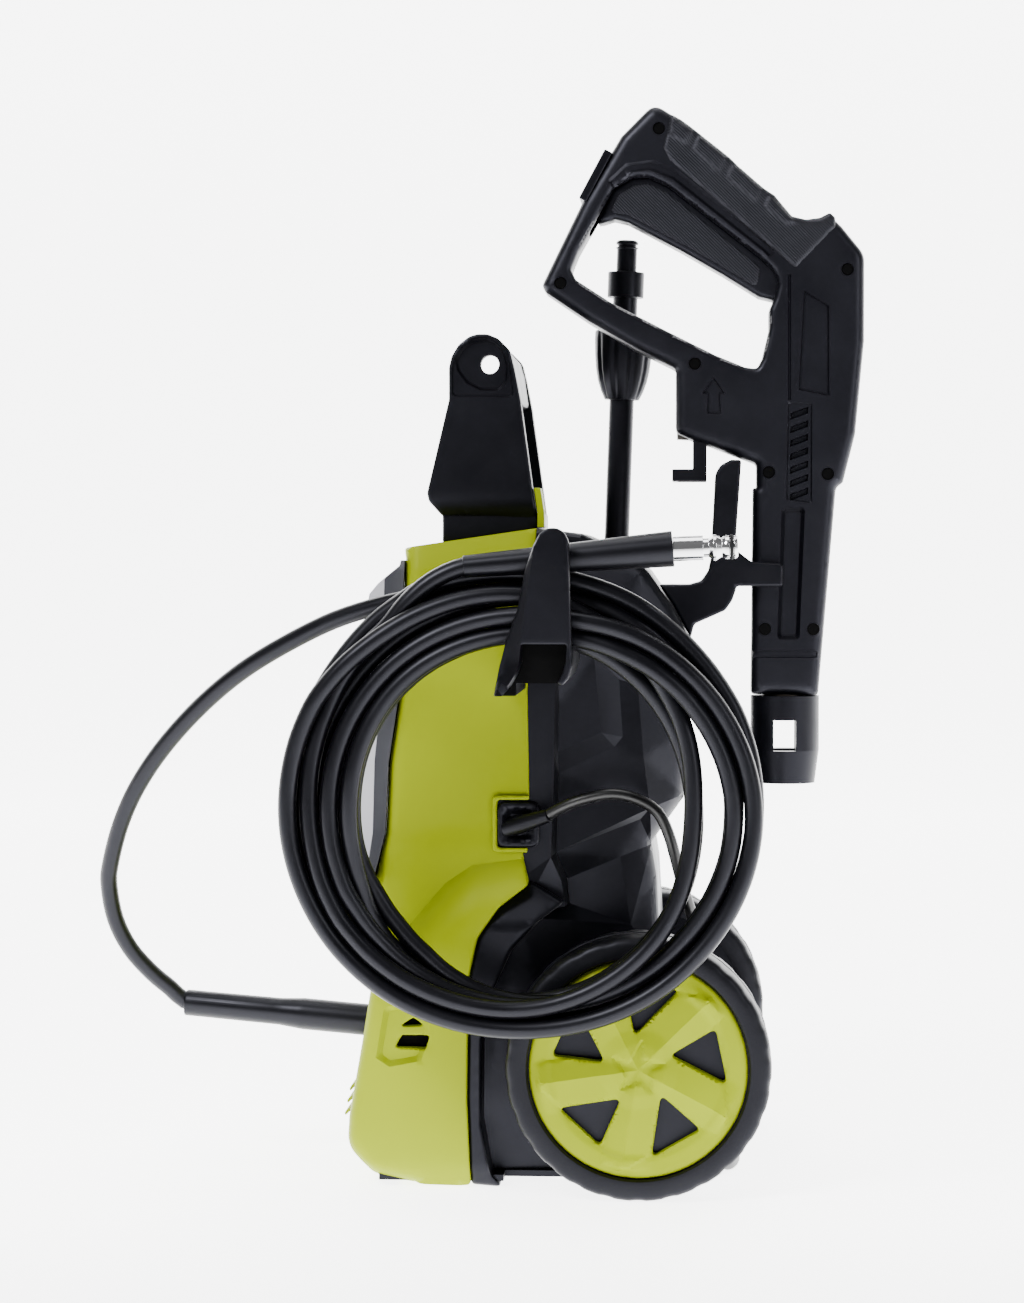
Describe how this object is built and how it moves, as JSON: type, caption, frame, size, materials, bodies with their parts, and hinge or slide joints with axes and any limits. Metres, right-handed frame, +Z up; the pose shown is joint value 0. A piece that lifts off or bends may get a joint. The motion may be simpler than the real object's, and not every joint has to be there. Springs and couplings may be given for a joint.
{
  "type": "pressure washer",
  "caption": "Upright electric pressure washer on two wheels, with its hose coiled on a side hanger, spray gun in a rear bracket and lance in a socket.",
  "frame": {"origin": "middle of the front foot's underside, on the surface that the machine stands on", "axes": "+X to the rear, where the wheels and the spray gun are; +Y to the side away from the hung hose; +Z up"},
  "size_m": [0.4388, 0.4695, 0.616],
  "materials": {
    "lime_plastic": "semi-gloss moulded",
    "black_plastic": "fine moulded grain",
    "panel_silver": "silver-grey moulded",
    "trim_grey": "satin moulded",
    "foot_rubber": "matte",
    "cable_sheath": "satin",
    "hose_sheath": "glossy",
    "nipple_chrome": "polished",
    "steel": "zinc plated",
    "pump_aluminium": "die cast",
    "brass_fitting": "turned",
    "gun_plastic": "fine moulded grain",
    "grip_rubber": "diagonal grip texture",
    "winding_lacquer": "lacquered copper",
    "piston_ceramic": "polished ceramic sleeve"
  },
  "bodies": {
    "machine": {"front_cover": "lime_plastic", "handle_trim": "lime_plastic", "rear_cover": "black_plastic", "base_tray": "black_plastic", "carry_handle": "black_plastic", "hose_hanger": "black_plastic", "gun_bracket": "black_plastic", "cord_grommet": "black_plastic", "water_inlet": "black_plastic", "switch_body": "black_plastic", "front_panel": "panel_silver", "panel_trim": "trim_grey", "front_foot": "foot_rubber", "strain_relief": "foot_rubber", "nipple_oring": "foot_rubber", "power_cord": "cable_sheath", "cord_coil": "cable_sheath", "mains_plug": "cable_sheath", "hose_lead": "hose_sheath", "hose_coil": "hose_sheath", "hose_tail": "hose_sheath", "outlet_sleeve": "hose_sheath", "connector_sleeve": "hose_sheath", "hose_nipple": "nipple_chrome", "axle": "steel", "axle_clips": "steel", "casing_screws": "steel", "piston_springs": "steel", "motor_can": "steel", "pump_head": "pump_aluminium", "swash_housing": "pump_aluminium", "outlet_pipe": "brass_fitting", "lance_socket": "gun_plastic"},
    "near_wheel_set": {"near_wheel": "black_plastic", "near_wheel_cover": "lime_plastic"},
    "far_wheel_set": {"far_wheel": "black_plastic", "far_wheel_cover": "lime_plastic"},
    "rotor": {"rotor_core": "winding_lacquer", "rotor_shaft": "steel", "cooling_fan": "black_plastic", "swash_plate": "steel"},
    "piston_1_set": {"piston_1": "piston_ceramic"},
    "piston_2_set": {"piston_2": "piston_ceramic"},
    "piston_3_set": {"piston_3": "piston_ceramic"},
    "knob": {"switch_knob": "black_plastic"},
    "gun": {"gun_shell_near": "gun_plastic", "gun_shell_far": "gun_plastic", "grip_overmould": "grip_rubber", "gun_valve": "brass_fitting", "outlet_collar": "black_plastic", "gun_screws": "steel", "trigger_spring": "steel"},
    "trigger_set": {"trigger": "gun_plastic"},
    "lock": {"lock_slider": "black_plastic"},
    "release": {"release_lever": "gun_plastic"},
    "stem": {"valve_stem": "steel"},
    "lance": {"lance_tube": "black_plastic", "lance_bayonet": "gun_plastic", "lance_collar": "black_plastic"},
    "nozzle": {"lance_nozzle": "black_plastic"}
  },
  "joints": [
    {"name": "near_wheel_spin", "type": "hinge", "parent": "machine", "child": "near_wheel_set", "pos_m": [0.118, 0, 0.073], "axis": [0, 1, 0], "continuous": true},
    {"name": "far_wheel_spin", "type": "hinge", "parent": "machine", "child": "far_wheel_set", "pos_m": [0.118, 0, 0.073], "axis": [0, 1, 0], "continuous": true},
    {"name": "motor_spin", "type": "hinge", "parent": "machine", "child": "rotor", "pos_m": [0.03, 0, 0.2], "axis": [0, 0, 1], "continuous": true},
    {"name": "piston_1_stroke", "type": "slide", "parent": "machine", "child": "piston_1_set", "axis": [0, 0, 1], "range_m": [0, 0.008]},
    {"name": "piston_2_stroke", "type": "slide", "parent": "machine", "child": "piston_2_set", "axis": [0, 0, 1], "range_m": [0, 0.008]},
    {"name": "piston_3_stroke", "type": "slide", "parent": "machine", "child": "piston_3_set", "axis": [0, 0, 1], "range_m": [0, 0.008]},
    {"name": "switch_turn", "type": "hinge", "parent": "machine", "child": "knob", "pos_m": [-0.05, 0, 0.25], "axis": [1, 0, 0], "range_deg": [0, 90]},
    {"name": "gun_lift", "type": "slide", "parent": "machine", "child": "gun", "axis": [0, 0, 1], "range_m": [0, 0.15]},
    {"name": "trigger_pull", "type": "hinge", "parent": "gun", "child": "trigger_set", "pos_m": [0.199, 0, 0.507], "axis": [0, 1, 0], "range_deg": [0, 8], "stiffness_Nm_per_rad": 4, "springref_deg": -2.86, "deforming": ["trigger_spring"]},
    {"name": "lock_slide", "type": "slide", "parent": "gun", "child": "lock", "axis": [0.4716, 0, 0.8818], "range_m": [0, 0.006]},
    {"name": "release_push", "type": "slide", "parent": "gun", "child": "release", "axis": [0, 0, 1], "range_m": [0, 0.004], "stiffness_N_per_m": 400, "springref_m": -0.002},
    {"name": "stem_stroke", "type": "slide", "parent": "gun", "child": "stem", "axis": [0, 0, -1], "range_m": [0, 0.005]},
    {"name": "lance_lift", "type": "slide", "parent": "machine", "child": "lance", "axis": [0.0349, 0, 0.9994], "range_m": [0, 0.17]},
    {"name": "nozzle_turn", "type": "hinge", "parent": "lance", "child": "nozzle", "pos_m": [0.09661, 0.038, 0.22709], "axis": [0.0349, 0, 0.9994], "range_deg": [0, 90]}
  ],
  "couplings": [
    {"joint": "stem_stroke", "follows": "trigger_pull", "m_per_rad": 0.0355}
  ]
}
